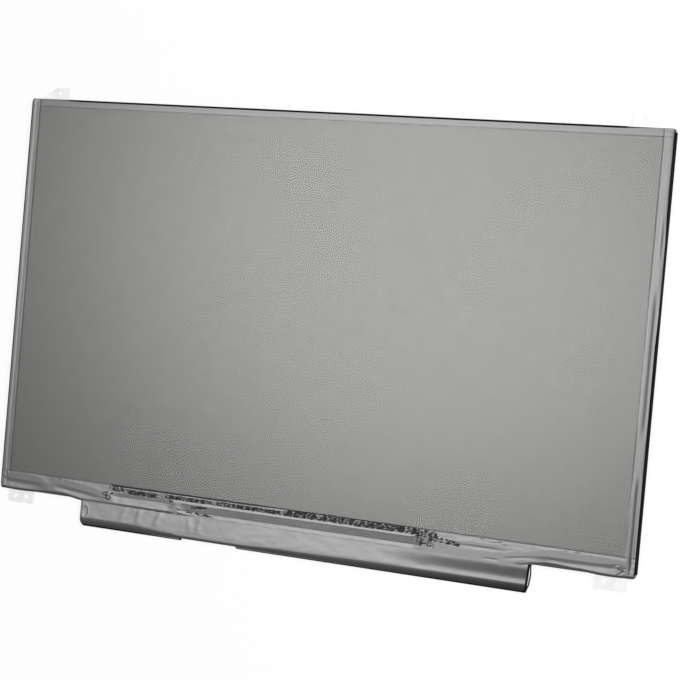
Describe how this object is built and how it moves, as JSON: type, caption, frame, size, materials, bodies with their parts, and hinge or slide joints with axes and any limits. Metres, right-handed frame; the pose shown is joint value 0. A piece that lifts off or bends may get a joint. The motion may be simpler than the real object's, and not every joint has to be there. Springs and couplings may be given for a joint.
{
  "type": "laptop screen panel",
  "caption": "Slim flat laptop screen panel: a rectangular display under clear film, with a wrapped driver-board strip below its lower edge and steel screw tabs at the corners.",
  "frame": {"origin": "middle of the part's outline in plan, on the surface that its back lies on", "axes": "+X along the screen's width, +Y to the screen's top edge, +Z out of the screen"},
  "size_m": [0.306, 0.1976, 0.0035],
  "materials": {
    "cover_metal": "satin pressed sheet",
    "frame_plastic": "fine texture",
    "white_sheet": "matte",
    "clear_acrylic": "clear",
    "optical_sheet": "frosted",
    "flex_film": "amber",
    "lamp_body": "gloss",
    "black_tape": "satin",
    "polarizer": "gloss",
    "cell_glass": "clear",
    "clear_film": "gloss, crinkled",
    "bracket_steel": "plated",
    "chip": "matte",
    "board": "solder mask",
    "inductor": "sintered",
    "capacitor": "fired",
    "resistor": "fired",
    "socket_plastic": "moulded",
    "socket_steel": "plated",
    "contact": "gold flash",
    "cover_film": "gloss, creased"
  },
  "bodies": {
    "root": {"rear_cover": "cover_metal", "mold_frame": "frame_plastic", "reflector_sheet": "white_sheet", "light_guide_plate": "clear_acrylic", "diffuser_sheet": "optical_sheet", "lower_prism_sheet": "optical_sheet", "upper_prism_sheet": "optical_sheet", "backlight_flex": "flex_film", "backlight_leds": "lamp_body", "shield_tape": "black_tape", "rear_polarizer": "polarizer", "tft_glass": "cell_glass", "color_filter_glass": "cell_glass", "front_polarizer": "polarizer", "protective_film": "clear_film", "left_edge_tape": "black_tape", "right_edge_tape": "black_tape", "top_edge_tape": "black_tape", "upper_left_bracket": "bracket_steel", "upper_right_bracket": "bracket_steel", "lower_left_bracket": "bracket_steel", "lower_right_bracket": "bracket_steel", "source_flexes": "flex_film", "driver_chips": "chip", "driver_board": "board", "timing_controller": "chip", "power_chip": "chip", "backlight_driver": "chip", "power_inductors": "inductor", "board_capacitors": "capacitor", "board_resistors": "resistor", "signal_connector_housing": "socket_plastic", "signal_connector_shell": "socket_steel", "signal_connector_contacts": "contact", "backlight_connector": "socket_plastic", "board_cover_film": "cover_film"}
  },
  "joints": []
}
